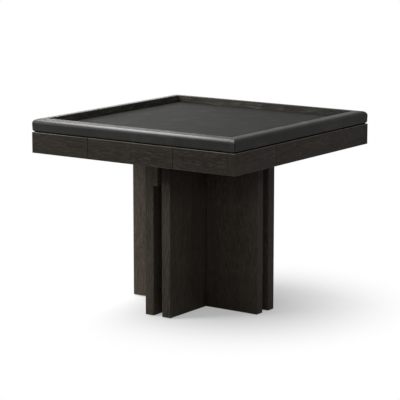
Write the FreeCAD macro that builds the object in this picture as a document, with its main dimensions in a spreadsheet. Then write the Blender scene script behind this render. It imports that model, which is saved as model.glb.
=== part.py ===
import FreeCAD, Part
import os
import Sketcher

# Square games table with a leather rim, four drawers and a slotted cross base.
# Origin on the floor under the middle of the table, +Z up, millimetres.
# Every side is drawn as the front side, which faces -Y, and turned about Z to its place.

DRIVING_SIZES = [
    # Top
    ("table_width", 955),
    ("table_height", 762),
    ("rim_height", 50),
    ("rim_width", 48),
    ("rim_fall", 2.3),
    ("rim_round", 18),
    ("rim_lower_round", 6),
    ("rim_inner_round", 4),
    ("lining_thickness", 15),
    ("lining_drop", 3),
    ("well_depth", 24),
    ("leather_thickness", 2),
    ("deck_thickness", 18),
    ("shadow_gap", 3),
    ("board_clearance", 0.5),
    # Apron
    ("apron_height", 82),
    ("apron_thickness", 32),
    ("arris", 1),
    ("dust_panel_thickness", 12),
    ("dust_panel_recess", 2),
    ("divider_thickness", 18),
    ("corner_block_leg", 60),
    # Drawers
    ("drawer_width", 400),
    ("drawer_reveal", 1.5),
    ("closing_gap", 1),
    ("drawer_side_room", 8),
    ("drawer_board", 12),
    ("drawer_lift", 3),
    ("drawer_headroom", 6),
    ("drawer_back_room", 7.5),
    ("drawer_engagement", 68),
    ("drawer_bottom_thickness", 5),
    ("drawer_bottom_raise", 6),
    ("drawer_bottom_tongue", 4),
    ("groove_clearance", 0.3),
    ("runner_height", 12),
    ("runner_bite", 6),
    ("runner_short", 10),
    ("stop_length", 60),
    ("stop_thickness", 12),
    ("stop_overlap", 8),
    ("stop_clearance", 0.5),
    ("finger_groove_length", 180),
    ("finger_groove_width", 14),
    ("finger_groove_depth", 12),
    ("finger_groove_setback", 8),
    # Base
    ("leaf_thickness", 40),
    ("slot_width", 40),
    ("arm_reach", 302),
    ("core_half_length", 90),
    ("slot_rail_height", 113),
    ("slot_rail_thickness", 20),
    ("glide_height", 3),
    ("glide_diameter", 24),
    ("glide_inset", 30),
    # Fasteners
    ("plate_thickness", 5),
    ("plate_margin", 30),
    ("bolt_reach", 155),
    ("bolt_diameter", 8),
    ("bolt_head_width", 13),
    ("bolt_head_height", 5.5),
    ("bolt_bite", 60),
    ("screw_inset", 135),
    ("screw_diameter", 4.8),
    ("screw_head_diameter", 9.5),
    ("screw_head_height", 3),
    ("screw_bite", 24),
    ("hole_clearance", 0.6),
]

SIDES = ["front", "right", "back", "left"]
NEXT_SIDE = {"front": "right", "right": "back", "back": "left", "left": "front"}

doc = FreeCAD.newDocument("mahjong_table")
sheet = doc.addObject("Spreadsheet::Sheet", "dim")
for row, (size_name, size_value) in enumerate(DRIVING_SIZES, start=1):
    sheet.set(f"A{row}", size_name)
    sheet.set(f"B{row}", str(size_value))
    sheet.setAlias(f"B{row}", size_name)
doc.recompute()

# Levels and half widths that follow from the driving sizes
HALF = "(dim.table_width / 2)"
INNER = f"({HALF} - dim.apron_thickness)"
RIM_BOTTOM = "(dim.table_height - dim.rim_height)"
DECK_BOTTOM = f"({RIM_BOTTOM} - dim.deck_thickness)"
PLAY_TOP = "(dim.table_height - dim.well_depth)"
BOARD_TOP = f"({PLAY_TOP} - dim.leather_thickness)"
LINING_OUTER = f"({HALF} - dim.rim_width)"
BOARD_HALF = f"({LINING_OUTER} - dim.lining_thickness - dim.board_clearance)"
APRON_TOP = f"({RIM_BOTTOM} - dim.shadow_gap)"
APRON_BOTTOM = f"({APRON_TOP} - dim.apron_height)"
DUST_BOTTOM = f"({APRON_BOTTOM} + dim.dust_panel_recess)"
DUST_TOP = f"({DUST_BOTTOM} + dim.dust_panel_thickness)"
OPENING_HALF = "(dim.drawer_width / 2 + dim.drawer_reveal)"
BOX_HALF = "(dim.drawer_width / 2 - dim.drawer_side_room)"
FACE_BACK = f"({INNER} + dim.closing_gap)"
DRAWER_REAR = f"({OPENING_HALF} + dim.divider_thickness + dim.drawer_back_room)"
DRAWER_LOW = f"({DUST_TOP} + dim.drawer_lift)"
DRAWER_HIGH = f"({DECK_BOTTOM} - dim.drawer_headroom)"
BOTTOM_LOW = f"({DRAWER_LOW} + dim.drawer_bottom_raise)"
BOTTOM_HIGH = f"({BOTTOM_LOW} + dim.drawer_bottom_thickness)"
RUNNER_LOW = f"(({DRAWER_LOW} + {DRAWER_HIGH} - dim.runner_height) / 2)"
RUNNER_HIGH = f"({RUNNER_LOW} + dim.runner_height)"
SLOT_HALF = "(dim.slot_width / 2)"
LEAF_OUTER = f"({SLOT_HALF} + dim.leaf_thickness)"
LEAF_MIDDLE = f"({SLOT_HALF} + dim.leaf_thickness / 2)"
PLATE_TOP = f"({DUST_TOP} + dim.plate_thickness)"
SCREW_LINE = f"(({INNER} + {LINING_OUTER}) / 2)"
SCREW_OUTER = f"({HALF} - dim.screw_inset)"

nodes = []


def keep(piece, name):
    """Give a finished piece its node name and list it for export."""
    piece.Label = name
    nodes.append(piece)
    return piece


def place(piece, side, x, y, z):
    """Put a piece whose corner is at x, y, z on the front side on its own side."""
    turns = SIDES.index(side)
    across, along = [(x, y), (f"-({y})", x), (f"-({x})", f"-({y})"), (y, f"-({x})")][turns]
    turn = FreeCAD.Rotation(FreeCAD.Vector(0, 0, 1), 90 * turns)
    piece.Placement = FreeCAD.Placement(FreeCAD.Vector(), turn)
    piece.setExpression("Placement.Base.x", across)
    piece.setExpression("Placement.Base.y", along)
    piece.setExpression("Placement.Base.z", z)
    return piece


def board(name, side, x, y, z):
    """A plain board between the low and high ends given along each axis."""
    piece = doc.addObject("Part::Box", name)
    for edge, (low, high) in zip(("Length", "Width", "Height"), (x, y, z)):
        piece.setExpression(edge, f"({high}) - ({low})")
    return place(piece, side, x[0], y[0], z[0])


def cut(name, base, tools):
    """Take every tool away from the base, one after the other."""
    for count, tool in enumerate(tools, start=1):
        result = doc.addObject("Part::Cut", f"{name}_{count}")
        result.Base = base
        result.Tool = tool
        base = result
    return base


def group(name, pieces):
    """Like pieces that share one node as separate solids."""
    result = doc.addObject("Part::Compound", name)
    result.Links = pieces
    return keep(result, name)


def new_sketch(body, name, height="0"):
    """A sketch on the body's own XY plane, raised to a height."""
    sketch = body.newObject("Sketcher::SketchObject", name)
    plane = [item for item in body.Origin.OriginFeatures if item.Role == "XY_Plane"][0]
    sketch.AttachmentSupport = [(plane, "")]
    sketch.MapMode = "FlatFace"
    sketch.setExpression("AttachmentOffset.Base.z", height)
    return sketch


def dimension(sketch, name, constraint, expression):
    """Add a named dimension and tie it to the sheet."""
    index = sketch.addConstraint(constraint)
    sketch.renameConstraint(index, name)
    sketch.setExpression(f"Constraints.{name}", expression)


def closed_outline(sketch, points):
    """Straight lines through the points, with the first point held at the origin."""
    corners = [FreeCAD.Vector(x, y, 0) for x, y in points]
    count = len(corners)
    for index in range(count):
        sketch.addGeometry(Part.LineSegment(corners[index], corners[(index + 1) % count]))
    for index in range(count):
        sketch.addConstraint(Sketcher.Constraint("Coincident", index, 2, (index + 1) % count, 1))
    sketch.addConstraint(Sketcher.Constraint("Coincident", 0, 1, -1, 1))
    sketch.addConstraint(Sketcher.Constraint("Horizontal", 0))


def add_pad(body, sketch, height):
    """Raise a closed outline into a solid."""
    pad = body.newObject("PartDesign::Pad", f"{body.Name}_pad")
    pad.Profile = sketch
    pad.setExpression("Length", height)
    doc.recompute()
    return pad


def rectangle_body(name, width, depth, height):
    """A body with a plain rectangular pad that starts at its own origin."""
    body = doc.addObject("PartDesign::Body", name)
    sketch = new_sketch(body, f"{name}_plan")
    closed_outline(sketch, [(0, 0), (20, 0), (20, 10), (0, 10)])
    sketch.addConstraint(Sketcher.Constraint("Horizontal", 2))
    sketch.addConstraint(Sketcher.Constraint("Vertical", 1))
    sketch.addConstraint(Sketcher.Constraint("Vertical", 3))
    dimension(sketch, "across", Sketcher.Constraint("DistanceX", 0, 1, 0, 2, 20), width)
    dimension(sketch, "deep", Sketcher.Constraint("DistanceY", 1, 1, 1, 2, 10), depth)
    add_pad(body, sketch, height)
    return body


def mitred_body(name, length, width, height):
    """A rail with both ends cut at 45 degrees, its long edge on the body's X axis."""
    body = doc.addObject("PartDesign::Body", name)
    sketch = new_sketch(body, f"{name}_plan")
    closed_outline(sketch, [(0, 0), (40, 0), (30, 10), (10, 10)])
    sketch.addConstraint(Sketcher.Constraint("Horizontal", 2))
    dimension(sketch, "long_edge", Sketcher.Constraint("DistanceX", 0, 1, 0, 2, 40), length)
    dimension(sketch, "wide", Sketcher.Constraint("DistanceY", 0, 1, 3, 1, 10), width)
    dimension(sketch, "near_mitre", Sketcher.Constraint("DistanceX", 0, 1, 3, 1, 10), width)
    dimension(sketch, "far_mitre", Sketcher.Constraint("DistanceX", 2, 1, 1, 1, 10), width)
    add_pad(body, sketch, height)
    return body


def edges_where(shape, test):
    """Names of the edges whose bounding box passes the test."""
    return [f"Edge{index}" for index, edge in enumerate(shape.Edges, start=1) if test(edge.BoundBox)]


def ease(body, feature, name, amount, test):
    """Chamfer or fillet the chosen edges of a body's last feature."""
    base = body.Tip
    step = body.newObject(f"PartDesign::{feature}", f"{body.Name}_{name}")
    step.Base = (base, edges_where(base.Shape, test))
    step.setExpression("Radius" if feature == "Fillet" else "Size", amount)
    doc.recompute()
    body.Tip = step


def slope_top(body, fall, width):
    """Tilt a rail's top so that it falls from the inner edge to the outer one."""
    base = body.Tip
    box = base.Shape.BoundBox
    faces = [(f"Face{index}", face.BoundBox) for index, face in enumerate(base.Shape.Faces, start=1)]
    step = body.newObject("PartDesign::Draft", f"{body.Name}_top_slope")
    step.Base = (base, [name for name, face in faces if face.ZMin > box.ZMax - 0.001])
    step.NeutralPlane = (base, [name for name, face in faces if face.YMin > box.YMax - 0.001])
    step.setExpression("Angle", f"atan({fall} / {width})")
    doc.recompute()
    body.Tip = step


def ease_faces(body, name, low_ends):
    """Take the sharp arris off every edge of the faces at the low X or low Y end."""
    box = body.Tip.Shape.BoundBox

    def on_face(edge):
        on_front = "y" in low_ends and edge.YMax - box.YMin < 0.001
        on_end = "x" in low_ends and edge.XMax - box.XMin < 0.001
        return on_front or on_end

    ease(body, "Chamfer", name, "dim.arris", on_face)


def drill(body, name, level, centres, diameter, depth, upward=False):
    """Round holes from a level of the body; each centre is a pair of places from its origin."""
    before = body.Tip.Shape.Volume
    sketch = new_sketch(body, f"{body.Name}_{name}_places", level)
    for index, (across, along) in enumerate(centres):
        hole = sketch.addGeometry(Part.Circle(FreeCAD.Vector(9, 9, 0), FreeCAD.Vector(0, 0, 1), 2))
        dimension(sketch, f"across_{index}", Sketcher.Constraint("DistanceX", -1, 1, hole, 3, 9), across)
        dimension(sketch, f"along_{index}", Sketcher.Constraint("DistanceY", -1, 1, hole, 3, 9), along)
        dimension(sketch, f"bore_{index}", Sketcher.Constraint("Diameter", hole, 4), diameter)
    pocket = body.newObject("PartDesign::Pocket", f"{body.Name}_{name}")
    pocket.Profile = sketch
    pocket.setExpression("Length", depth)
    pocket.Reversed = upward
    doc.recompute()
    if body.Tip.Shape.Volume >= before:
        raise RuntimeError(f"{body.Name}: {name} cuts nothing")
    body.Tip = pocket


def four_way(body, name):
    """Repeat the last cut on the other three sides, about the middle of a square panel."""
    before = body.Tip.Shape.Volume
    pattern = body.newObject("PartDesign::PolarPattern", f"{body.Name}_{name}")
    pattern.Originals = [body.Tip]
    pattern.Axis = ([item for item in body.Origin.OriginFeatures if item.Role == "Z_Axis"][0], [""])
    pattern.Angle = 360
    pattern.Occurrences = len(SIDES)
    body.Tip = pattern
    doc.recompute()
    if body.Tip.Shape.Volume >= before:
        raise RuntimeError(f"{body.Name}: {name} repeats nothing")


def square_panel(name, half_width, low, high):
    """A square panel centred on the table, as a body that can be drilled about its middle."""
    body = doc.addObject("PartDesign::Body", name)
    sketch = new_sketch(body, f"{name}_plan")
    points = [FreeCAD.Vector(x, y, 0) for x, y in ((-9, -9), (9, -9), (9, 9), (-9, 9))]
    for index in range(4):
        sketch.addGeometry(Part.LineSegment(points[index], points[(index + 1) % 4]))
        direction = "Horizontal" if index % 2 == 0 else "Vertical"
        sketch.addConstraint(Sketcher.Constraint(direction, index))
    for index in range(4):
        sketch.addConstraint(Sketcher.Constraint("Coincident", index, 2, (index + 1) % 4, 1))
    sketch.addConstraint(Sketcher.Constraint("Symmetric", 0, 1, 2, 1, -1, 1))
    dimension(sketch, "across", Sketcher.Constraint("DistanceX", 0, 1, 0, 2, 18), f"2 * {half_width}")
    dimension(sketch, "deep", Sketcher.Constraint("DistanceY", 1, 1, 1, 2, 18), f"2 * {half_width}")
    add_pad(body, sketch, f"{high} - {low}")
    return place(body, "front", "0", "0", low)


def make_legs(side):
    """The through leaf and the butted leaf of one L-shaped leg, and the rail in its slot."""
    height = f"{DUST_BOTTOM} - dim.glide_height"
    length = f"dim.arm_reach - {SLOT_HALF}"
    bolt_hole = "dim.bolt_diameter + dim.hole_clearance"

    def on_arm_end(end):
        return lambda edge: edge.ZLength > 1 and end(edge)

    through = rectangle_body(f"leaf_{side}_through", "dim.leaf_thickness", length, height)
    ease(through, "Chamfer", "arris", "dim.arris", on_arm_end(lambda edge: edge.YMax < 0.001))
    centre = ("dim.leaf_thickness / 2", "dim.arm_reach - dim.bolt_reach")
    drill(through, "bolt_hole", height, [centre], bolt_hole, "dim.bolt_bite")
    keep(place(through, side, SLOT_HALF, "-dim.arm_reach", "dim.glide_height"), through.Name)

    butted = rectangle_body(f"leaf_{NEXT_SIDE[side]}_butted", f"dim.arm_reach - {LEAF_OUTER}",
                            "dim.leaf_thickness", height)
    reach = butted.Tip.Shape.BoundBox.XMax
    ease(butted, "Chamfer", "arris", "dim.arris", on_arm_end(lambda edge: edge.XMin > reach - 0.001))
    centre = (f"dim.bolt_reach - {LEAF_OUTER}", "dim.leaf_thickness / 2")
    drill(butted, "bolt_hole", height, [centre], bolt_hole, "dim.bolt_bite")
    keep(place(butted, side, LEAF_OUTER, f"-{LEAF_OUTER}", "dim.glide_height"), butted.Name)

    rail = board(f"slot_rail_{side}", side,
                 (f"-{SLOT_HALF}", f"dim.slot_rail_thickness - {SLOT_HALF}"),
                 ("-dim.arm_reach", "-dim.core_half_length"),
                 (f"{DUST_BOTTOM} - dim.slot_rail_height", DUST_BOTTOM))
    keep(rail, rail.Name)


def make_core():
    """Cross-shaped core that fills the middle of both slots and holds the legs apart."""
    bars = []
    for side in ("front", "right"):
        bars.append(board(f"core_bar_{side}", side, (f"-{SLOT_HALF}", SLOT_HALF),
                          ("-dim.core_half_length", "dim.core_half_length"), ("dim.glide_height", DUST_BOTTOM)))
    core = doc.addObject("Part::Fuse", "core_post")
    core.Base, core.Tool = bars
    core.Refine = True
    keep(core, "core_post")


def leaf_points(reach):
    """Places at one distance along both leaves of an arm, for glides and bolts."""
    return [(f"-{LEAF_MIDDLE}", f"-({reach})"), (LEAF_MIDDLE, f"-({reach})")]


def make_glides():
    """Round plastic glides that the table stands on, one under each leaf."""
    glides = []
    for side in SIDES:
        for x, y in leaf_points("dim.arm_reach - dim.glide_inset"):
            glide = doc.addObject("Part::Cylinder", "glide")
            glide.setExpression("Radius", "dim.glide_diameter / 2")
            glide.setExpression("Height", "dim.glide_height")
            glides.append(place(glide, side, x, y, "0"))
    group("glides", glides)


def make_mounting():
    """Steel plate on the dust panel, with bolts through both into the tops of the leaves."""
    plate = square_panel("mounting_plate", "(dim.bolt_reach + dim.plate_margin)", DUST_TOP, PLATE_TOP)
    dust = square_panel("dust_panel", INNER, DUST_BOTTOM, DUST_TOP)
    for panel, thickness in ((plate, "dim.plate_thickness"), (dust, "dim.dust_panel_thickness")):
        centres = [(x, y) for x, y in leaf_points("dim.bolt_reach")]
        drill(panel, "bolt_holes", thickness, centres, "dim.bolt_diameter + dim.hole_clearance", thickness)
        four_way(panel, "bolt_hole_sets")
        keep(panel, panel.Name)

    bolts = []
    for side in SIDES:
        for x, y in leaf_points("dim.bolt_reach"):
            head = doc.addObject("Part::Prism", "bolt_head")
            head.Polygon = 6
            head.setExpression("Circumradius", "dim.bolt_head_width / (2 * cos(30 deg))")
            head.setExpression("Height", "dim.bolt_head_height")
            place(head, side, x, y, PLATE_TOP)
            grip = "dim.plate_thickness + dim.dust_panel_thickness + dim.bolt_bite - dim.hole_clearance"
            shank = doc.addObject("Part::Cylinder", "bolt_shank")
            shank.setExpression("Radius", "dim.bolt_diameter / 2")
            shank.setExpression("Height", grip)
            place(shank, side, x, y, f"{PLATE_TOP} - ({grip})")
            bolt = doc.addObject("Part::Fuse", "bolt")
            bolt.Base = head
            bolt.Tool = shank
            bolts.append(bolt)
    group("base_bolts", bolts)


def make_apron(side):
    """The board that runs through the left corner and the one that butts at the right."""
    thickness = "dim.apron_thickness"
    length = f"{HALF} - {OPENING_HALF}"
    long_board = rectangle_body(f"apron_{side}_long", length, thickness, "dim.apron_height")
    ease_faces(long_board, "arris", "xy")
    keep(place(long_board, side, f"-{HALF}", f"-{HALF}", APRON_BOTTOM), long_board.Name)

    length = f"{INNER} - {OPENING_HALF}"
    short_board = rectangle_body(f"apron_{side}_short", length, thickness, "dim.apron_height")
    ease_faces(short_board, "arris", "y")
    keep(place(short_board, side, OPENING_HALF, f"-{HALF}", APRON_BOTTOM), short_board.Name)


def make_dividers(side):
    """Upright boards on both sides of a drawer, between the dust panel and the deck."""
    pair = []
    for hand, low in (("left", f"-{OPENING_HALF} - dim.divider_thickness"), ("right", OPENING_HALF)):
        pair.append(board(f"divider_{side}_{hand}", side, (low, f"{low} + dim.divider_thickness"),
                          (f"-{INNER}", f"-{DRAWER_REAR}"), (DUST_TOP, DECK_BOTTOM)))
    group(f"dividers_{side}", pair)


def make_corner_blocks():
    """Triangular glue blocks inside the corners of the apron."""
    blocks = []
    for side in SIDES:
        body = doc.addObject("PartDesign::Body", f"corner_block_{side}")
        sketch = new_sketch(body, f"corner_block_{side}_plan")
        closed_outline(sketch, [(0, 0), (10, 0), (0, 10)])
        sketch.addConstraint(Sketcher.Constraint("Vertical", 2))
        leg = "dim.corner_block_leg"
        dimension(sketch, "across", Sketcher.Constraint("DistanceX", 0, 1, 0, 2, 10), leg)
        dimension(sketch, "deep", Sketcher.Constraint("DistanceY", 2, 2, 2, 1, 10), leg)
        add_pad(body, sketch, f"{DECK_BOTTOM} - {DUST_TOP}")
        blocks.append(place(body, side, f"-{INNER}", f"-{INNER}", DUST_TOP))
    group("corner_blocks", blocks)


def screw_places():
    """Places of the screws that hold one rim rail, from the middle of the table."""
    return [(x, f"-{SCREW_LINE}") for x in
            (f"-{SCREW_OUTER}", f"-{SCREW_OUTER} / 3", f"{SCREW_OUTER} / 3", SCREW_OUTER)]


def make_deck():
    """Panel inside the apron that carries the rim and the playing board."""
    deck = square_panel("deck", INNER, DECK_BOTTOM, RIM_BOTTOM)
    bore = "dim.screw_diameter + dim.hole_clearance"
    drill(deck, "screw_holes", "dim.deck_thickness", screw_places(), bore, "dim.deck_thickness")
    four_way(deck, "screw_hole_sets")
    bore = "dim.screw_head_diameter + dim.hole_clearance"
    recess = "dim.screw_head_height + dim.hole_clearance"
    drill(deck, "head_recesses", "0", screw_places(), bore, recess, upward=True)
    four_way(deck, "head_recess_sets")
    keep(deck, "deck")


def make_rim(side):
    """Leather-covered rail with a sloped top and rounded edges, and the wooden lining behind it."""
    rail = mitred_body(f"rim_{side}", "dim.table_width", "dim.rim_width", "dim.rim_height")
    top = rail.Tip.Shape.BoundBox.ZMax
    width = rail.Tip.Shape.BoundBox.YMax
    slope_top(rail, "dim.rim_fall", "dim.rim_width")
    ease(rail, "Fillet", "outer_round", "dim.rim_round",
         lambda edge: edge.YMax < 0.001 and edge.ZMin > top / 2)
    ease(rail, "Fillet", "lower_round", "dim.rim_lower_round",
         lambda edge: edge.YMax < 0.001 and edge.ZMax < 0.001)
    ease(rail, "Fillet", "inner_round", "dim.rim_inner_round",
         lambda edge: edge.YMin > width - 0.001 and edge.ZMin > top - 0.001)
    places = [(f"{HALF} + {x}", f"{HALF} + {y}") for x, y in screw_places()]
    depth = "dim.screw_bite + dim.hole_clearance"
    drill(rail, "screw_holes", "0", places, "dim.screw_diameter + dim.hole_clearance", depth, upward=True)
    keep(place(rail, side, f"-{HALF}", f"-{HALF}", RIM_BOTTOM), rail.Name)

    lining = mitred_body(f"lining_{side}", f"2 * {LINING_OUTER}", "dim.lining_thickness",
                         "dim.rim_height - dim.lining_drop")
    keep(place(lining, side, f"-{LINING_OUTER}", f"-{LINING_OUTER}", RIM_BOTTOM), lining.Name)


def make_rim_screws():
    """Screws from under the deck up into the rim rails, their heads let into the deck."""
    screws = []
    for side in SIDES:
        for x, y in screw_places():
            head = doc.addObject("Part::Cylinder", "screw_head")
            head.setExpression("Radius", "dim.screw_head_diameter / 2")
            head.setExpression("Height", "dim.screw_head_height")
            place(head, side, x, y, f"{DECK_BOTTOM} + dim.hole_clearance")
            shank = doc.addObject("Part::Cylinder", "screw_shank")
            shank.setExpression("Radius", "dim.screw_diameter / 2")
            shank.setExpression("Height", "dim.deck_thickness + dim.screw_bite - dim.hole_clearance")
            place(shank, side, x, y, f"{DECK_BOTTOM} + dim.hole_clearance")
            screw = doc.addObject("Part::Fuse", "screw")
            screw.Base = head
            screw.Tool = shank
            screws.append(screw)
    group("rim_screws", screws)


def make_playing_surface():
    """Board on the deck inside the linings, with the leather laid over it."""
    across = (f"-{BOARD_HALF}", BOARD_HALF)
    keep(board("playing_board", "front", across, across, (RIM_BOTTOM, BOARD_TOP)), "playing_board")
    keep(board("playing_leather", "front", across, across, (BOARD_TOP, PLAY_TOP)), "playing_leather")


def make_drawer(side):
    """Face with a finger groove under it, grooved sides, back and bottom of one drawer."""
    face_thickness = "dim.apron_thickness - dim.closing_gap"
    face = rectangle_body(f"drawer_{side}_face", "dim.drawer_width", face_thickness, "dim.apron_height")
    ease_faces(face, "arris", "y")
    before = face.Tip.Shape.Volume
    sketch = new_sketch(face, f"drawer_{side}_groove_plan")
    ends = [FreeCAD.Vector(x, 9, 0) for x in (9, 18)]
    normal = FreeCAD.Vector(0, 0, 1)
    sketch.addGeometry(Part.ArcOfCircle(Part.Circle(ends[0], normal, 3), 1.5708, 4.7124))
    sketch.addGeometry(Part.LineSegment(FreeCAD.Vector(9, 6, 0), FreeCAD.Vector(18, 6, 0)))
    sketch.addGeometry(Part.ArcOfCircle(Part.Circle(ends[1], normal, 3), -1.5708, 1.5708))
    sketch.addGeometry(Part.LineSegment(FreeCAD.Vector(18, 12, 0), FreeCAD.Vector(9, 12, 0)))
    for curve, curve_end, line, line_end in ((0, 2, 1, 1), (2, 1, 1, 2), (2, 2, 3, 1), (0, 1, 3, 2)):
        sketch.addConstraint(Sketcher.Constraint("Tangent", curve, curve_end, line, line_end))
    sketch.addConstraint(Sketcher.Constraint("Horizontal", 1))
    sketch.addConstraint(Sketcher.Constraint("Equal", 0, 2))
    straight = "dim.finger_groove_length - dim.finger_groove_width"
    dimension(sketch, "half_wide", Sketcher.Constraint("Radius", 0, 3), "dim.finger_groove_width / 2")
    dimension(sketch, "straight", Sketcher.Constraint("DistanceX", 0, 3, 2, 3, 9), straight)
    dimension(sketch, "start", Sketcher.Constraint("DistanceX", -1, 1, 0, 3, 9),
              f"(dim.drawer_width - ({straight})) / 2")
    dimension(sketch, "setback", Sketcher.Constraint("DistanceY", -1, 1, 0, 3, 9),
              "dim.finger_groove_setback + dim.finger_groove_width / 2")
    groove = face.newObject("PartDesign::Pocket", f"drawer_{side}_finger_groove")
    groove.Profile = sketch
    groove.setExpression("Length", "dim.finger_groove_depth")
    groove.Reversed = True
    doc.recompute()
    face.Tip = groove
    if face.Tip.Shape.Volume >= before:
        raise RuntimeError(f"{face.Name}: the finger groove cuts nothing")
    keep(place(face, side, "-dim.drawer_width / 2", f"-{HALF}", APRON_BOTTOM), face.Name)

    inside = f"({BOX_HALF} - dim.drawer_board)"
    length = (f"-{FACE_BACK}", f"-{DRAWER_REAR}")
    inner_length = (f"-{FACE_BACK}", f"-{DRAWER_REAR} - dim.drawer_board")
    tall = (DRAWER_LOW, DRAWER_HIGH)
    gap = "dim.groove_clearance"
    pair = []
    for hand, sign in (("left", -1), ("right", 1)):
        def across(near, far):
            return (near, far) if sign > 0 else (f"-({far})", f"-({near})")

        name = f"drawer_{side}_{hand}"
        side_board = board(f"{name}_board", side, across(inside, BOX_HALF), length, tall)
        runner_groove = board(f"{name}_runner_groove", side,
                              across(f"{BOX_HALF} - dim.runner_bite - {gap}", f"{BOX_HALF} + {gap}"),
                              length, (f"{RUNNER_LOW} - {gap}", f"{RUNNER_HIGH} + {gap}"))
        bottom_groove = board(f"{name}_bottom_groove", side,
                              across(f"{inside} - {gap}", f"{inside} + dim.drawer_bottom_tongue + {gap}"),
                              inner_length, (f"{BOTTOM_LOW} - {gap}", f"{BOTTOM_HIGH} + {gap}"))
        pair.append(cut(name, side_board, [runner_groove, bottom_groove]))
    group(f"drawer_{side}_sides", pair)

    back = board(f"drawer_{side}_back", side, (f"-{inside}", inside),
                 (f"-{DRAWER_REAR} - dim.drawer_board", f"-{DRAWER_REAR}"), tall)
    keep(back, back.Name)
    tongue = f"({inside} + dim.drawer_bottom_tongue)"
    bottom = board(f"drawer_{side}_bottom", side, (f"-{tongue}", tongue), inner_length,
                   (BOTTOM_LOW, BOTTOM_HIGH))
    keep(bottom, bottom.Name)


def make_runners_and_stops():
    """Runner strips on the dividers and, under the deck, the block that stops each drawer."""
    runners = []
    stops = []
    reach = f"{FACE_BACK} - dim.drawer_engagement + dim.drawer_board + dim.stop_clearance"
    for side in SIDES:
        for low, high in ((f"{BOX_HALF} - dim.runner_bite", OPENING_HALF),
                          (f"-{OPENING_HALF}", f"dim.runner_bite - {BOX_HALF}")):
            runners.append(board("runner", side, (low, high),
                                 (f"-{INNER}", f"-{DRAWER_REAR} - dim.runner_short"),
                                 (RUNNER_LOW, RUNNER_HIGH)))
        stops.append(board("stop", side, ("-dim.stop_length / 2", "dim.stop_length / 2"),
                           (f"-({reach}) - dim.stop_thickness", f"-({reach})"),
                           (f"{DRAWER_HIGH} - dim.stop_overlap", DECK_BOTTOM)))
    group("drawer_runners", runners)
    group("drawer_stops", stops)


# Base
for side in SIDES:
    make_legs(side)
make_core()
make_glides()
make_mounting()

# Apron
for side in SIDES:
    make_apron(side)
    make_dividers(side)
make_corner_blocks()

# Top
make_deck()
for side in SIDES:
    make_rim(side)
make_rim_screws()
make_playing_surface()

# Drawers
for side in SIDES:
    make_drawer(side)
make_runners_and_stops()

doc.recompute()
failed = [item.Label for item in doc.Objects if "Invalid" in item.State or "Error" in item.State]
broken = [piece.Label for piece in nodes if piece.Shape.isNull() or not piece.Shape.isValid()]
if failed or broken:
    raise RuntimeError(f"failed objects {failed}, broken shapes {broken}")

os.makedirs("parts", exist_ok=True)
for piece in nodes:
    piece.Shape.exportStep(f"parts/{piece.Label}.step")
print(len(nodes), "nodes written")
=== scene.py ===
import math
import random

import bpy
from mathutils import Matrix, Vector, noise


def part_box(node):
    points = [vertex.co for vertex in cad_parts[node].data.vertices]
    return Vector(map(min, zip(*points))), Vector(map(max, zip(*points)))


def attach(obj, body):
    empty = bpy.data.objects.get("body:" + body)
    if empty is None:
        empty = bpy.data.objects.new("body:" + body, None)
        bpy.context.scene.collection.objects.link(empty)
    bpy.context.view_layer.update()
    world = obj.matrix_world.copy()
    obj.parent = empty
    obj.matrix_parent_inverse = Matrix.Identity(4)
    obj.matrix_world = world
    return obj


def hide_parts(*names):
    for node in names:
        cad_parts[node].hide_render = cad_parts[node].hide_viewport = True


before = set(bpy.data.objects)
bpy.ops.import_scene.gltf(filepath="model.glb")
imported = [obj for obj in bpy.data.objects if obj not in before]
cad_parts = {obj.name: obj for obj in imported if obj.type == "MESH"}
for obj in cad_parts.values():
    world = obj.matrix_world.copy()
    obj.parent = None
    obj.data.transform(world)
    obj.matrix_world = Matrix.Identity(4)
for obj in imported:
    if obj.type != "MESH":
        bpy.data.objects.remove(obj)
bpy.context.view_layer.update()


# Base leaves and core: eight upright oak boards glued into four L-shaped legs, which stand back to
# back round a cross-shaped core. They are stained near black and lacquered to a low satin. Their
# colour is painted darker towards the underside of the apron and darker still on the ends of two
# arms just below it, both painted shadow, and lighter on the walls of the slots, a painted light.
SIDES = ("front", "right", "back", "left")
TRUNK_LEAN = 0.035
RING_WANDER = 0.034
GRAIN_SHARES = {"late_wood": 0.14, "bands": 0.15, "fibres": 0.34, "broad": 0.16, "pores": -0.34}
ARRIS_WIDTH = 0.0026
CREVICE_WIDTH = 0.002
# Depths below the apron and into a face between which the tone of a zone fades out.
BLEACH_DEPTH = 0.207
# Painted shadow on the arm ends: depths below the apron where it starts and where it is full.
CAP_DEPTH, CAP_FULL_DEPTH = 0.112, 0.082
SKIN_DEPTH, SKIN_FULL_DEPTH = 0.0006, 0.0002
# A board where nothing else is said. A tone below 1 makes its zone darker than the rest of the board.
PLAIN_BOARD = {"stain": 1.0, "handled": 0.16, "figure": 1.0, "top_tone": 1.0, "unbleached": 1.0,
               "slot_tone": 1.0, "cap_tone": 1.0, "end_tone": 1.0}
leaf_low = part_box("leaf_front_through")[0]
slot_half = leaf_low.x
arm_reach = -leaf_low.y
apron_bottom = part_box("apron_front_long")[0].z
log_choice = random.Random(41)


def add(tree, kind, inputs=None, **settings):
    """A shader node with its settings made and its inputs joined or filled."""
    made = tree.nodes.new("ShaderNode" + kind)
    for name, value in settings.items():
        setattr(made, name, value)
    for name, value in (inputs or {}).items():
        if isinstance(value, bpy.types.NodeSocket):
            tree.links.new(value, made.inputs[name])
        else:
            made.inputs[name].default_value = value
    return made


def maths(tree, operation, *values):
    """The result of one sum on the values."""
    return add(tree, "Math", dict(enumerate(values)), operation=operation).outputs[0]


def spread(tree, value, low, high, to_low=0.0, to_high=1.0):
    """The value's stretch from low to high, drawn out to a new range and held inside it."""
    inputs = {"Value": value, "From Min": low, "From Max": high, "To Min": to_low, "To Max": to_high}
    return add(tree, "MapRange", inputs).outputs["Result"]


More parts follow.
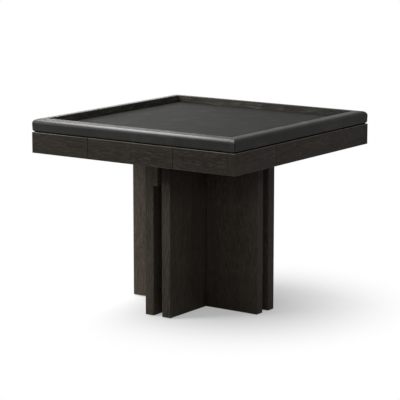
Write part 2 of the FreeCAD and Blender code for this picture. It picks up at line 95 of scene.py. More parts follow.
def toned(tree, share, tones):
    """Colours laid out evenly from the first tone to the last, picked by the share."""
    made = add(tree, "ValToRGB", {"Fac": share})
    steps = made.color_ramp.elements
    while len(steps) < len(tones):
        steps.new(0.5)
    for index, tone in enumerate(tones):
        steps[index].position = index / (len(tones) - 1)
        steps[index].color = (*tone, 1.0)
    return made.outputs["Color"]


def tinted(tree, share, ground, tint):
    """The ground colour turned towards the tint by the share."""
    made = add(tree, "Mix", {0: share, 6: ground, 7: (*tint, 1.0)}, data_type="RGBA")
    return made.outputs[2]


def emboss(tree, surface, height, strength, depth, **under):
    """Give the surface a fine relief, over the rounded edges if they are given as its Normal."""
    bump = add(tree, "Bump", {"Strength": strength, "Distance": depth, "Height": height, **under})
    tree.links.new(bump.outputs["Normal"], surface.inputs["Normal"])


def new_finish(name):
    """A material with its shader, ready to be filled."""
    finish = bpy.data.materials.new(name)
    finish.use_nodes = True
    return finish, finish.node_tree, finish.node_tree.nodes["Principled BSDF"]


def board_value(tree, name, form="Fac"):
    """What each board carries for itself under the name."""
    return add(tree, "Attribute", attribute_type="OBJECT", attribute_name=name).outputs[form]


def wood_grain(tree, along, place, ring):
    """The layers that sawing lays open, from 0 to 1: year rings, bands, fibres, flecks and pores."""
    pith = board_value(tree, "pith", "Vector")
    from_pith = add(tree, "VectorMath", {0: place, 1: pith}, operation="SUBTRACT").outputs[0]
    ways = add(tree, "SeparateXYZ", {0: from_pith}).outputs
    turned = {"x": "YZX", "y": "ZXY", "z": "XYZ"}[along]
    log = add(tree, "CombineXYZ", {index: ways[axis] for index, axis in enumerate(turned)}).outputs[0]

    def streaks(across, lengthways, detail, low, high, bend=0.0):
        drawn = add(tree, "VectorMath", {0: log, 1: (across, across, lengthways)}, operation="MULTIPLY")
        inputs = {"Vector": drawn.outputs[0], "Scale": 1.0, "Detail": detail, "Distortion": bend}
        return spread(tree, add(tree, "TexNoise", inputs).outputs[0], low, high)

    radial = add(tree, "VectorMath", {0: log, 1: (1, 1, 0)}, operation="MULTIPLY").outputs[0]
    radius = add(tree, "VectorMath", {0: radial}, operation="LENGTH").outputs["Value"]
    leaning = maths(tree, "MULTIPLY_ADD", ways[turned[2]], TRUNK_LEAN, radius)
    wander = streaks(across=9, lengthways=2.4, detail=2, low=0.0, high=1.0)
    bent = maths(tree, "MULTIPLY_ADD", wander, RING_WANDER, leaning)
    year = maths(tree, "FRACT", maths(tree, "DIVIDE", bent, ring))
    late_wood = spread(tree, year, 0.08, 0.95)
    pore_field = streaks(across=1300, lengthways=42, detail=1, low=0.56, high=0.68)
    return {
        "late_wood": late_wood,
        "bands": streaks(across=150, lengthways=15, detail=3, low=0.32, high=0.68),
        "fibres": streaks(across=480, lengthways=26, detail=3, low=0.3, high=0.7),
        "broad": streaks(across=26, lengthways=3.5, detail=3, low=0.3, high=0.7),
        "flecks": streaks(across=290, lengthways=46, detail=2, low=0.55, high=0.80, bend=0.7),
        "pores": maths(tree, "MULTIPLY", pore_field, spread(tree, late_wood, 0.0, 0.9, 1.0, 0.25))}


def edge_wear(tree, flat, eased, sides, broad):
    """Where hands and dusters have rubbed: along the edges, unevenly, and most where they look up, which is
    also a painted highlight on the upward edges.
    """
    facing = add(tree, "VectorMath", {0: flat, 1: eased}, operation="DOT_PRODUCT").outputs["Value"]
    squareness = maths(tree, "ABSOLUTE", sides[0])
    for axis in (1, 2):
        squareness = maths(tree, "MAXIMUM", squareness, maths(tree, "ABSOLUTE", sides[axis]))
    rounded = spread(tree, facing, 0.995, 0.86)
    bevelled = spread(tree, squareness, 0.98, 0.85)
    edges = maths(tree, "MAXIMUM", rounded, bevelled)
    # Painted highlight: edges that look up take more of the lighter tint.
    upward = spread(tree, add(tree, "SeparateXYZ", {0: eased}).outputs[2], 0.05, 0.35, 0.12, 1.0)
    uneven = spread(tree, broad, 0.1, 0.9, 0.45, 1.0)
    return maths(tree, "MULTIPLY", maths(tree, "MULTIPLY", edges, upward), uneven)


def board_shade(tree, along, place, sides):
    """How deep a board's stain is, zone by zone, with painted shade and painted light in most zones and
    painted shade in tight joints and crevices.
    """
    x, y, height = add(tree, "SeparateXYZ", {0: place}).outputs
    from_middle = [maths(tree, "ABSOLUTE", way) for way in (x, y)]
    from_slot = maths(tree, "MINIMUM", *from_middle)
    out_along_arm = maths(tree, "MAXIMUM", *from_middle)
    arm_end = spread(tree, out_along_arm, arm_reach - SKIN_DEPTH, arm_reach - SKIN_FULL_DEPTH)
    capped = spread(tree, height, apron_bottom - CAP_DEPTH, apron_bottom - CAP_FULL_DEPTH)
    end_grain = maths(tree, "ABSOLUTE", sides["xyz".index(along)])
    zones = {
        # Painted shade: faces that look up are darker.
        "top_tone": spread(tree, sides[2], 0.70, 0.95),
        # Painted shadow: the leaves darker towards the underside of the apron.
        "unbleached": spread(tree, height, apron_bottom - BLEACH_DEPTH, apron_bottom),
        # Painted light: the walls of the slots lighter.
        "slot_tone": spread(tree, from_slot, slot_half + SKIN_DEPTH, slot_half + SKIN_FULL_DEPTH),
        # Painted shadow: the ends of two arms darker just under the apron.
        "cap_tone": maths(tree, "MULTIPLY", arm_end, capped),
        # End grain darker: partly stain, partly painted shade.
        "end_tone": spread(tree, end_grain, 0.5, 0.9)}
    # Painted shade: darker where the surface is hemmed in within a few millimetres, in joints and crevices.
    open_round = add(tree, "AmbientOcclusion", {"Distance": CREVICE_WIDTH}, samples=6).outputs["AO"]
    joint_line = spread(tree, open_round, 0.60, 0.95, 0.12, 1.0)
    shade = maths(tree, "MULTIPLY", board_value(tree, "stain"), joint_line)
    for tone, zone in zones.items():
        shade = maths(tree, "MULTIPLY", shade, spread(tree, zone, 0.0, 1.0, 1.0, board_value(tree, tone)))
    return shade


def wood_finish(name, along, tones, worn, ring, fleck, gloss, shine):
    """Sawn wood with its grain along one axis, stained board by board, rubbed along its edges with a painted
    highlight on the upward ones, and given painted shade and light.
    """
    finish, tree, surface = new_finish(name)
    place = add(tree, "TexCoord").outputs["Object"]
    grain = wood_grain(tree, along, place, ring)
    figure = maths(tree, "MULTIPLY", board_value(tree, "figure"), fleck)
    share = maths(tree, "MULTIPLY", grain["flecks"], figure)
    for layer, weight in GRAIN_SHARES.items():
        share = maths(tree, "MULTIPLY_ADD", grain[layer], weight, share)

    flat = add(tree, "NewGeometry").outputs["True Normal"]
    sides = add(tree, "SeparateXYZ", {0: flat}).outputs
    eased = add(tree, "Bevel", {"Radius": ARRIS_WIDTH}, samples=4).outputs["Normal"]
    # Rubbed edges, with a painted highlight where they look up.
    rubbed = edge_wear(tree, flat, eased, sides, grain["broad"])
    handled = maths(tree, "MULTIPLY", rubbed, board_value(tree, "handled"))
    colour = tinted(tree, handled, toned(tree, share, tones), worn)
    shade = board_shade(tree, along, place, sides)
    colour = add(tree, "VectorMath", {0: colour, "Scale": shade}, operation="SCALE").outputs[0]
    tree.links.new(colour, surface.inputs["Base Color"])

    rough = spread(tree, grain["fibres"], 0.0, 1.0, gloss - 0.05, gloss + 0.06)
    tree.links.new(maths(tree, "MULTIPLY_ADD", grain["pores"], 0.16, rough), surface.inputs["Roughness"])
    filled = maths(tree, "SUBTRACT", 1.0, grain["pores"])
    relief = maths(tree, "MULTIPLY_ADD", grain["fibres"], 0.3, filled)
    emboss(tree, surface, relief, strength=0.4, depth=0.0004, Normal=eased)
    surface.inputs["Specular IOR Level"].default_value = shine
    return finish


def wood_finishes(name, **looks):
    """The same wood with its grain along each of the three axes."""
    return {along: wood_finish(f"{name}_{along}", along, **looks) for along in "xyz"}


def coat(node, finish):
    """Give one of the frame's nodes its finish."""
    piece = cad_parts[node]
    piece.data.materials.clear()
    piece.data.materials.append(finish)
    return piece


def saw(node, along, finishes, **looks):
    """Give a board its finish, its looks and its own place in the log, the pith behind its wide face."""
    low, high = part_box(node)
    across = [index for index, axis in enumerate("xyz") if axis != along]
    thick, wide = sorted(across, key=lambda index: high[index] - low[index])
    pith = (low + high) / 2
    pith[thick] += log_choice.choice((-1, 1)) * log_choice.uniform(0.035, 0.075)
    pith[wide] += log_choice.uniform(-0.35, 0.35) * (high[wide] - low[wide])
    pith["xyz".index(along)] += log_choice.uniform(-2.0, 2.0)
    board = coat(node, finishes[along])
    board["pith"] = tuple(pith)
    for look, value in {**PLAIN_BOARD, **looks}.items():
        board[look] = value
    board["stain"] *= log_choice.uniform(0.95, 1.05)


oak_looks = {"tones": ((0.0120, 0.0094, 0.0072), (0.0390, 0.0316, 0.0248), (0.0720, 0.0590, 0.0470)),
             "worn": (0.400, 0.355, 0.300), "ring": 0.0034, "fleck": 0.50}
stained_oak = wood_finishes("stained_oak", gloss=0.50, shine=0.05, **oak_looks)
# The left through board's much higher stain value lightens it, a painted light where light from the left
# falls on its front face.
through_looks = {"front": {"stain": 1.08, "unbleached": 0.33, "cap_tone": 0.38},
                 "right": {"stain": 0.93, "unbleached": 0.72},
                 "back": {"stain": 1.10, "unbleached": 0.40},
                 "left": {"stain": 1.75, "unbleached": 0.68}}
butted_looks = {"front": {"stain": 1.10, "unbleached": 0.60},
                "right": {"stain": 0.98, "unbleached": 0.23, "cap_tone": 0.22},
                "back": {"stain": 1.00, "unbleached": 0.25},
                "left": {"stain": 0.96, "unbleached": 0.25}}
for side in SIDES:
    saw(f"leaf_{side}_through", "z", stained_oak, slot_tone=2.0, **through_looks[side])
    saw(f"leaf_{side}_butted", "z", stained_oak, slot_tone=1.38, **butted_looks[side])
saw("core_post", "z", stained_oak, stain=1.4)


# Slot rails: short oak boards set on edge in the top of each slot, half as wide as the slot, glued
# to one leaf. They are stained but not lacquered. Their grain runs outwards along the arm. The whole
# rail is painted lighter, a painted light on the side that faces into the slot, and the end that shows
# is darker, partly end grain that has drunk more stain and partly painted shade, darkest on the right.
DEPTH_AXIS = {"front": "y", "right": "x", "back": "y", "left": "x"}
rail_oak = wood_finishes("rail_oak", gloss=0.60, shine=0.0, **oak_looks)
rail_end_tones = {"front": 0.66, "right": 0.26, "back": 0.44, "left": 0.44}
for side in SIDES:
    saw(f"slot_rail_{side}", DEPTH_AXIS[side], rail_oak, stain=1.7, end_tone=rail_end_tones[side])


# Glides: turned nylon discs, black, pressed into the feet of the leaves. Standing on them has
# scuffed the moulded grain a little.
def cloudy(tree, place, scale, detail):
    """Noise from 0 to 1, with about as many lumps to the metre as its scale."""
    return add(tree, "TexNoise", {"Vector": place, "Scale": scale, "Detail": detail}).outputs[0]


def nylon_finish(name, ground, scuffed):
    """Moulded nylon with a fine grain and paler scuffs."""
    finish, tree, surface = new_finish(name)
    place = add(tree, "TexCoord").outputs["Object"]
    grain = cloudy(tree, place, scale=1400.0, detail=2.0)
    scuffs = spread(tree, cloudy(tree, place, scale=160.0, detail=4.0), 0.52, 0.70)
    hollows = tuple(0.8 * part for part in ground)
    colour = toned(tree, spread(tree, grain, 0.3, 0.7), (hollows, ground))
    tree.links.new(tinted(tree, scuffs, colour, scuffed), surface.inputs["Base Color"])
    tree.links.new(spread(tree, scuffs, 0.0, 1.0, 0.5, 0.68), surface.inputs["Roughness"])
    emboss(tree, surface, grain, strength=0.3, depth=0.0002)
    return finish


coat("glides", nylon_finish("glide_nylon", ground=(0.022, 0.022, 0.023), scuffed=(0.075, 0.073, 0.070)))


# Mounting plate, bolts and screws: zinc-plated steel, rolled or cold formed, with fine drawn lines
# and a cloudy bloom in the plating.
def plated_finish(name, bright, dull):
    """Plated steel with drawn lines along x and a bloom."""
    finish, tree, surface = new_finish(name)
    place = add(tree, "TexCoord").outputs["Object"]
    drawn = add(tree, "VectorMath", {0: place, 1: (30, 900, 900)}, operation="MULTIPLY").outputs[0]
    lines = cloudy(tree, drawn, scale=1.0, detail=3.0)
    bloom = spread(tree, cloudy(tree, place, scale=45.0, detail=3.0), 0.35, 0.65)
    tree.links.new(toned(tree, bloom, (dull, bright)), surface.inputs["Base Color"])
    tree.links.new(spread(tree, lines, 0.3, 0.7, 0.28, 0.5), surface.inputs["Roughness"])
    emboss(tree, surface, lines, strength=0.2, depth=0.0001)
    surface.inputs["Metallic"].default_value = 1.0
    return finish


plated_steel = plated_finish("plated_steel", bright=(0.62, 0.62, 0.63), dull=(0.46, 0.46, 0.45))
for node in ("mounting_plate", "base_bolts", "rim_screws"):
    coat(node, plated_steel)


# Apron, drawer faces and dust panel: the same stained oak, with its grain along each side. One board
# runs through each left corner, the next one butts against it, and the drawer face sits flush between
# them. Their upward faces are painted darker, a painted shade that deepens the shadow gap.
RUN_AXIS = {"front": "x", "right": "y", "back": "x", "left": "y"}
# The apron's stain values sit well below the leaves', a painted shade in place of the floor's bounce light on
# the leaves; they also differ from board to board.
board_stains = {"front": (0.67, 0.61, 0.62), "right": (0.78, 0.71, 0.67),
                "back": (0.67, 0.61, 0.65), "left": (0.64, 0.67, 0.60)}
board_figures = (1.2, 1.9, 1.9)
for side in SIDES:
    boards = (f"apron_{side}_long", f"drawer_{side}_face", f"apron_{side}_short")
    for board, stain, figure in zip(boards, board_stains[side], board_figures):
        saw(board, RUN_AXIS[side], stained_oak, stain=stain, figure=figure,
            handled=1.0, top_tone=0.2, end_tone=0.8)
saw("dust_panel", "x", stained_oak)


# Inside boards: deck, dividers, glue blocks, runners, stops, playing board and drawer boxes in pale
# hardwood and plywood, planed, sanded and sealed with a thin clear coat.
pale_wood = wood_finishes(
    "pale_wood",
    tones=((0.27, 0.175, 0.095), (0.40, 0.285, 0.170), (0.50, 0.375, 0.240)),
    worn=(0.56, 0.44, 0.30), ring=0.0045, fleck=0.08, gloss=0.52, shine=0.40)
for side in SIDES:
    saw(f"dividers_{side}", DEPTH_AXIS[side], pale_wood)
    saw(f"drawer_{side}_sides", DEPTH_AXIS[side], pale_wood)
    saw(f"drawer_{side}_back", RUN_AXIS[side], pale_wood)
    saw(f"drawer_{side}_bottom", RUN_AXIS[side], pale_wood)
for node in ("deck", "playing_board", "drawer_runners", "drawer_stops"):
    saw(node, "x", pale_wood)
saw("corner_blocks", "z", pale_wood)


# Rim linings: thin strips of a close-grained wood, mitred at the corners and glued to the inner side
# of the rim. The stain is lighter on their walls, so the figure shows, and the top edges of all but
# the right lining are painted darker, a painted shade.
lining_wood = wood_finishes(
    "lining_wood",
    tones=((0.0072, 0.0066, 0.0057), (0.0270, 0.0246, 0.0214), (0.0960, 0.0890, 0.0790)),
    worn=(0.060, 0.050, 0.040), ring=0.0060, fleck=0.10, gloss=0.60, shine=0.0)
# Each lining's stain value is set to how light falls on its wall, lightest on the back: a painted light.
lining_looks = {"front": {"stain": 1.8, "top_tone": 0.6}, "right": {"stain": 1.8, "top_tone": 1.0},
                "back": {"stain": 3.0, "top_tone": 0.5}, "left": {"stain": 2.3, "top_tone": 0.2}}
for side in SIDES:
    saw(f"lining_{side}", RUN_AXIS[side], lining_wood, handled=0.06, **lining_looks[side])


# Rim: four timber rails under thin foam, each covered in black leather that is pulled over the
# rounded outer edge and tacked below. At the corners the covers are turned in and sewn together
# along the mitre, which leaves a fine sunk seam and a few short puckers.
RIM_FALL = 0.0023
RIM_ROUND = 0.018
RIM_INNER_ROUND = 0.004
RIM_LOWER_ROUND = 0.006
RIM_LOWER_INSET = 0.001
RIM_CROWN = 0.0003
LINING_CLEARANCE = 0.0004
LEATHER_INSET = 0.0003
SEAM_ROLL = 0.0024
PUCKER_HEIGHT = 0.00035
PUCKER_REACH = 0.022
# Waves to the metre and their height, first the broad ones and then the fine ones.
LEATHER_WAVES = ((14.0, 0.00007), (55.0, 0.000015))
EDGE_BURNISH = {"front": 1.05, "right": 0.1, "back": 0.85, "left": 0.9}
TOP_BURNISH = {"front": 0.02, "right": 0.14, "back": 0.10, "left": 0.11}


def leather_finish(name, tones, rubbed, pebble, relief, gloss, shine):
    """Grained leather: pebbles between fine creases, cloudy dye, and rubbed places with more shine."""
    finish, tree, surface = new_finish(name)
    place = add(tree, "TexCoord").outputs["Object"]
    drift = add(tree, "TexNoise", {"Vector": place, "Scale": 0.45 / pebble, "Detail": 2.0}).outputs["Color"]
    shifted = add(tree, "VectorMath", {0: drift, 1: (0.8 * pebble,) * 3, 2: place}, operation="MULTIPLY_ADD")
    cells = add(tree, "TexVoronoi", {"Vector": shifted.outputs[0], "Scale": 1.0 / pebble},
                feature="DISTANCE_TO_EDGE").outputs["Distance"]
    pebbles = spread(tree, cells, 0.0, 0.22)
    skin = cloudy(tree, place, scale=3.2 / pebble, detail=3.0)
    cloud = spread(tree, cloudy(tree, place, scale=9.0, detail=4.0), 0.3, 0.7)
    wear = spread(tree, cloudy(tree, place, scale=16.0, detail=5.0), 0.5, 0.78)

    share = maths(tree, "MULTIPLY_ADD", pebbles, 0.4, maths(tree, "MULTIPLY", cloud, 0.6))
    colour = tinted(tree, maths(tree, "MULTIPLY", wear, 0.5), toned(tree, share, tones), rubbed)
    seam = add(tree, "Attribute", attribute_name="seam").outputs["Fac"]
    # Painted shade: the sunk seam at the mitres darkened nearly to black.
    colour = tinted(tree, maths(tree, "MULTIPLY", seam, 0.9), colour, (0.002, 0.002, 0.002))
    tree.links.new(colour, surface.inputs["Base Color"])
    rough = spread(tree, cloud, 0.0, 1.0, gloss - 0.04, gloss + 0.04)
    rough = maths(tree, "MULTIPLY_ADD", wear, -0.06, rough)
    tree.links.new(maths(tree, "MULTIPLY_ADD", pebbles, -0.05, rough), surface.inputs["Roughness"])
    emboss(tree, surface, maths(tree, "MULTIPLY_ADD", skin, 0.35, pebbles), strength=relief, depth=0.00025)
    surface.inputs["Specular IOR Level"].default_value = shine
    burnish = add(tree, "Attribute", attribute_name="burnish").outputs["Fac"]
    waxed = maths(tree, "MULTIPLY", burnish, spread(tree, cloud, 0.0, 1.0, 0.63, 0.72))
    tree.links.new(waxed, surface.inputs["Coat Weight"])
    surface.inputs["Coat Roughness"].default_value = 0.24
    return finish


def arc(centre, radius, start, end, count):
    """Points on an arc, as distance in from the outer face and height."""
    angles = [math.radians(start + (end - start) * step / count) for step in range(count + 1)]
    return [(centre[0] + radius * math.cos(angle), centre[1] + radius * math.sin(angle)) for angle in angles]


def between(first, last, count):
    """Points along a straight stretch, without its two ends."""
    steps = [step / (count + 1) for step in range(1, count + 1)]
    return [(first[0] + (last[0] - first[0]) * at, first[1] + (last[1] - first[1]) * at) for at in steps]


def rim_profile(width, bottom, top):
    """The covered rail's section: inner wall, top that falls outwards, rounded outer edge and underside."""
    inner = width - LINING_CLEARANCE
    slope = math.degrees(math.atan2(RIM_FALL, width))
    outer_top = top - RIM_FALL * (1.0 - RIM_ROUND / width)
    inner_round = arc((inner - RIM_INNER_ROUND, top - RIM_INNER_ROUND), RIM_INNER_ROUND, 0, 90 + slope, 6)
    outer_round = arc((RIM_ROUND, outer_top - RIM_ROUND), RIM_ROUND, 90 + slope, 180, 14)
    lower_centre = (RIM_LOWER_ROUND + RIM_LOWER_INSET, bottom + RIM_LOWER_ROUND)
    lower_round = arc(lower_centre, RIM_LOWER_ROUND, 180, 270, 7)
    wall = between((inner, bottom), inner_round[0], 6)
    flat_top = between(inner_round[-1], outer_round[0], 10)
    crown = [(inset, height + RIM_CROWN * math.sin(math.pi * step / (len(flat_top) + 1)))
             for step, (inset, height) in enumerate(flat_top, start=1)]
    face = between(outer_round[-1], lower_round[0], 8)
    under = between(lower_round[-1], (inner, bottom), 5)
    return [(inner, bottom)] + wall + inner_round + crown + outer_round + face + lower_round + under


def outward(profile):
    """The way out of the section at each of its points."""
    ways = []
    for index in range(len(profile)):
        before, after = profile[index - 1], profile[(index + 1) % len(profile)]
        way = Vector((before[1] - after[1], after[0] - before[0]))
        ways.append(-way.normalized() if way.length > 0 else Vector((0, 1)))
    return ways


def rim_stations(length):
    """Distances in from one mitre, close together beside the seam and even along the rail."""
    beside_seam = [0.0002, 0.0006, 0.0012, 0.0019, 0.0028, 0.0042, 0.0065, 0.010, 0.015, 0.021, 0.028]
    start = beside_seam[-1]
    count = 92
    return beside_seam + [start + (length / 2 - start) * step / count for step in range(1, count + 1)]


def side_turn(side):
    """The turn from the front of the table to one of its sides."""
    return Matrix.Rotation(math.radians(90 * SIDES.index(side)), 4, "Z")


def bar_faces(around, rows):
    """Faces between the neighbouring sections of a bar, and its two ends last."""
    faces = []
    for row in range(rows - 1):
        here, there = row * around, (row + 1) * around
        for index in range(around):
            after = (index + 1) % around
            faces.append((here + index, here + after, there + after, there + index))
    faces.append(tuple(range(around - 1, -1, -1)))
    faces.append(tuple((rows - 1) * around + index for index in range(around)))
    return faces


def new_piece(name, vertices, faces):
    """A mesh object in the scene."""
    mesh = bpy.data.meshes.new(name)
    mesh.from_pydata([tuple(vertex) for vertex in vertices], [], faces)
    mesh.update()
    piece = bpy.data.objects.new(name, mesh)
    bpy.context.scene.collection.objects.link(piece)
    return piece


def leather_rail(side, half, width, bottom, top):
    """One covered rail, drawn on the front side and turned to its own."""
    profile = rim_profile(width, bottom, top)
    ways = outward(profile)
    turn = side_turn(side)
    stations = rim_stations(2 * (half - width))
    rows = [(-1, step) for step in stations] + [(1, step) for step in reversed(stations[:-1])]
    vertices = []
    for hand, step in rows:
        shoulder = min(1.0, step / SEAM_ROLL)
        sunk = SEAM_ROLL * (1.0 - math.sqrt(max(0.0, 1.0 - (1.0 - shoulder) ** 2)))
        for index, ((inset, height), way) in enumerate(zip(profile, ways)):
            mitre = half - inset
            along = hand * (mitre - step * mitre / (half - width))
            spot = turn @ Vector((along, inset - half, height))
            soft = sum(noise.noise(spot * waves) * rise for waves, rise in LEATHER_WAVES)
            gather = noise.noise(Vector((index * 0.9, along * 60.0, 3.7)))
            pucker = PUCKER_HEIGHT * math.exp(-step / PUCKER_REACH) * gather
            out = soft + pucker - sunk - LEATHER_INSET
            vertices.append(turn @ Vector((along, inset + way[0] * out - half, height + way[1] * out)))
    faces = bar_faces(len(profile), len(rows))
    piece = new_piece(f"rim_leather_{side}", vertices, faces)
    # Arms polish the rounded upper edge, and hands the flat top.
    rounded_edge = [2.6 * max(0.0, -way[0] - 0.05) * max(0.0, way[1]) ** 2 for way in ways]
    flat_top = [max(0.0, way[1]) ** 60 for way in ways]
    burnish = [EDGE_BURNISH[side] * edge_share + TOP_BURNISH[side] * top_share
               for edge_share, top_share in zip(rounded_edge, flat_top)]
    # How near each point lies to the mitre seam, for its painted shade.
    seam = [max(0.0, 1.0 - step / SEAM_ROLL) for hand, step in rows for point in profile]
    attributes = piece.data.attributes
    attributes.new("burnish", "FLOAT", "POINT").data.foreach_set("value", burnish * len(rows))
    attributes.new("seam", "FLOAT", "POINT").data.foreach_set("value", seam)
    piece.data.polygons.foreach_set("use_smooth", [True] * (len(faces) - 2) + [False] * 2)
    return piece


rim_leather = leather_finish(
    "rim_leather", tones=((0.0146, 0.0144, 0.0132), (0.0272, 0.0268, 0.0246)),
    rubbed=(0.040, 0.0395, 0.0368), pebble=0.0019, relief=0.42, gloss=0.50, shine=0.05)
rim_low, rim_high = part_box("rim_front")
for side in SIDES:
    rail = leather_rail(side, -rim_low.y, rim_high.y - rim_low.y, rim_low.z, rim_high.z)
    rail.data.materials.append(rim_leather)
    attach(rail, "table")
    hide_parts(f"rim_{side}")


# Tacking strips: flat strips of thick leather, near black with the rough side out, mitred at the
# corners and nailed under the rails over the covers' tacked edges. They lie a little way in from the
# face, close most of the shadow gap, and stay just clear of the apron and the drawer faces. Their
# near-black colour is a painted shade that keeps the gap dark.
STRIP_INSET = 0.007
STRIP_WIDTH = 0.018
STRIP_ROUND = 0.0008
STRIP_CLEARANCE = 0.0006
STRIP_TUCK = 0.0002


def tacking_strip(side, half, bottom, top):
    """One strip, drawn on the front side and turned to its own."""
    section = arc((STRIP_ROUND, bottom + STRIP_ROUND), STRIP_ROUND, 180, 270, 4)
    section += arc((STRIP_WIDTH - STRIP_ROUND, bottom + STRIP_ROUND), STRIP_ROUND, 270, 360, 4)
    section += [(STRIP_WIDTH, top), (0.0, top)]
    turn = side_turn(side)
    vertices = [turn @ Vector((hand * (half - inset), inset - half, height))
                for hand in (-1, 1) for inset, height in section]
    return new_piece(f"tacking_strip_{side}", vertices, bar_faces(len(section), 2))


# Painted shade: near-black leather in the shadow gap.
strip_leather = leather_finish(
    "strip_leather", tones=((0.0040, 0.0040, 0.0038), (0.0070, 0.0070, 0.0066)),
    rubbed=(0.0090, 0.0090, 0.0085), pebble=0.0012, relief=0.6, gloss=0.90, shine=0.0)
apron_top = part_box("apron_front_long")[1].z
for side in SIDES:
    strip = tacking_strip(side, -rim_low.y - STRIP_INSET, apron_top + STRIP_CLEARANCE, rim_low.z + STRIP_TUCK)
    strip.data.materials.append(strip_leather)
    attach(strip, "table")


# Playing surface: one sheet of charcoal leather, shaved to 2 mm, stretched flat over the board and
# glued, with its edges pressed down beside the linings. Play has polished it unevenly.
SHEET_ROLL_WIDTH = 0.0036
SHEET_ROLL_DROP = 0.0012
SHEET_INSET_BELOW = 0.0002
SHEET_INSET_ABOVE = 0.00015
SHEET_WAVES, SHEET_WAVE_RISE = 14.0, 0.00012


def sheet_marks(half):
    """Where the sheet's lines lie from one edge to the other, close together beside both edges."""
    beside_edge = [0.0, 0.0006, 0.0014, 0.0026, 0.0042, 0.0070, 0.0120, 0.0200]
    inner = half - beside_edge[-1]
    count = 72
    middle = [inner - 2 * inner * step / count for step in range(1, count)]
    return [half - step for step in beside_edge] + middle + [step - half for step in reversed(beside_edge)]


def playing_sheet(half, bottom, top):
    """A closed thin sheet with a soft turned-down edge."""
    marks = sheet_marks(half)
    vertices = []
    for under in (False, True):
        for y in marks:
            for x in marks:
                edge = min(half - abs(x), half - abs(y))
                rolled = SHEET_ROLL_DROP * max(0.0, 1.0 - edge / SHEET_ROLL_WIDTH) ** 2
                soft = noise.noise(Vector((x * SHEET_WAVES, y * SHEET_WAVES, 1.3))) * SHEET_WAVE_RISE
                upper = top - SHEET_INSET_ABOVE - rolled + soft
                vertices.append((x, y, bottom + SHEET_INSET_BELOW if under else upper))
    count = len(marks)
    layer_size = count * count
    faces = []
    for layer in (0, layer_size):
        for row in range(count - 1):
            for column in range(count - 1):
                first = layer + row * count + column
                face = (first, first + count, first + count + 1, first + 1)
                faces.append(face[::-1] if layer else face)
    border = list(range(count)) + [row * count + count - 1 for row in range(1, count)]
    border += [(count - 1) * count + index for index in range(count - 2, -1, -1)]
    border += [row * count for row in range(count - 2, 0, -1)]
    for here, after in zip(border, border[1:] + border[:1]):
        faces.append((here, after, after + layer_size, here + layer_size))
    piece = new_piece("playing_sheet", vertices, faces)
    piece.data.polygons.foreach_set("use_smooth", [True] * len(faces))
    return piece


charcoal_leather = leather_finish(
    "charcoal_leather", tones=((0.0225, 0.0226, 0.0217), (0.0310, 0.0311, 0.0299)),
    rubbed=(0.037, 0.037, 0.0355), pebble=0.0015, relief=0.5, gloss=0.80, shine=0.035)
sheet_low, sheet_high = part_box("playing_leather")
sheet = playing_sheet(sheet_high.x, sheet_low.z, sheet_high.z)
sheet.data.materials.append(charcoal_leather)
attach(sheet, "table")
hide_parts("playing_leather")


# Floor: a wide pale studio floor under the glides that keeps the table's shadow and fades to plain
# white further out.
FLOOR_REACH = 40
FADE_START, FADE_END = 0.20, 0.90
FADE_LEAST = 0.35


def seen_directly(tree):
    """1 for what the eye, a mirror or glass sees, and 0 for what only lights the table."""
    seen = add(tree, "LightPath").outputs
    eye_or_mirror = maths(tree, "MAXIMUM", seen["Is Camera Ray"], seen["Is Glossy Ray"])
    return maths(tree, "MAXIMUM", eye_or_mirror, seen["Is Transmission Ray"])


corners = [(x * FLOOR_REACH, y * FLOOR_REACH, 0) for x, y in ((-1, -1), (1, -1), (1, 1), (-1, 1))]
floor = new_piece("studio_floor", corners, [(0, 1, 2, 3)])
floor_finish, tree, surface = new_finish("studio_floor")
tree.nodes.remove(surface)
place = add(tree, "TexCoord").outputs["Object"]
distance = add(tree, "VectorMath", {0: place}, operation="LENGTH").outputs["Value"]
fade = {"Value": distance, "From Min": FADE_START, "From Max": FADE_END, "To Min": FADE_LEAST, "To Max": 1.0}
far = add(tree, "MapRange", fade, interpolation_type="SMOOTHSTEP").outputs["Result"]
speckle = cloudy(tree, place, scale=60.0, detail=2.0)
matt = add(tree, "BsdfDiffuse", {"Color": toned(tree, speckle, ((0.90, 0.90, 0.90), (0.92, 0.92, 0.92)))})
white = add(tree, "Emission", {"Color": (1.0, 1.0, 1.0, 1.0), "Strength": 1.0})
whitened = maths(tree, "MULTIPLY", far, seen_directly(tree))
mixed = add(tree, "MixShader", {0: whitened, 1: matt.outputs[0], 2: white.outputs[0]})
tree.links.new(mixed.outputs[0], tree.nodes["Material Output"].inputs["Surface"])
floor.data.materials.append(floor_finish)


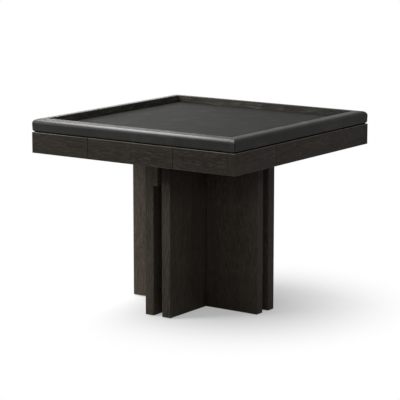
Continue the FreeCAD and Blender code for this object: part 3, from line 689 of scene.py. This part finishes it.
# Light: a white studio all round at a low level, a long soft lamp high on the left for the leather's
# edge, a faintly cool one lower in front on the left for the wood, and a weak one behind that lifts
# the top.
ROOM_LEVEL = 0.40
world = bpy.data.worlds.new("white_studio")
bpy.context.scene.world = world
world.use_nodes = True
tree = world.node_tree
level = spread(tree, seen_directly(tree), 0.0, 1.0, ROOM_LEVEL, 1.0)
tree.links.new(level, tree.nodes["Background"].inputs["Strength"])
tree.nodes["Background"].inputs["Color"].default_value = (1.0, 1.0, 1.0, 1.0)


def soft_lamp(name, place, aim, size, power, colour=(1.0, 1.0, 1.0)):
    """A soft box, as long and wide as its size, that faces the aim."""
    lamp = bpy.data.lights.new(name, "AREA")
    lamp.shape = "RECTANGLE"
    lamp.size, lamp.size_y = size
    lamp.energy = power
    lamp.color = colour
    stand = bpy.data.objects.new(name, lamp)
    stand.location = place
    stand.rotation_euler = (Vector(aim) - Vector(place)).to_track_quat("-Z", "Y").to_euler()
    bpy.context.scene.collection.objects.link(stand)


soft_lamp("high_left_lamp", place=(-1.72, -0.75, 3.0), aim=(0.03, -0.75, 0.75), size=(3.3, 0.9), power=103.0)
soft_lamp("front_left_lamp", place=(-2.6, -2.7, 1.5), aim=(0.0, 0.0, 0.4), size=(1.6, 1.6), power=54.0,
          colour=(0.955, 1.0, 0.99))
soft_lamp("back_left_lamp", place=(-1.65, 1.3, 1.22), aim=(0.0, -0.3, 0.76), size=(1.1, 0.55), power=8.0)


# Camera: a long lens a little above table height, 35 degrees round to the right of the front and
# seven metres off, so that the upright edges run nearly parallel.
AZIMUTH = math.radians(35.1241)
ELEVATION = math.radians(10.5198)
DISTANCE = 7.2736
SENSOR_WIDTH = 36.0
FOCAL_LENGTH = 163.90
TARGET = Vector((-0.01199, 0.0, 0.41631))
back = Vector((math.sin(AZIMUTH) * math.cos(ELEVATION), -math.cos(AZIMUTH) * math.cos(ELEVATION),
               math.sin(ELEVATION)))
lens = bpy.data.cameras.new("camera")
lens.sensor_width = SENSOR_WIDTH
lens.lens = FOCAL_LENGTH
camera = bpy.data.objects.new("camera", lens)
camera.location = TARGET + DISTANCE * back
camera.rotation_euler = (math.pi / 2 - ELEVATION, 0.0, AZIMUTH)
bpy.context.scene.collection.objects.link(camera)
bpy.context.scene.camera = camera
bpy.context.scene.view_settings.view_transform = "Standard"
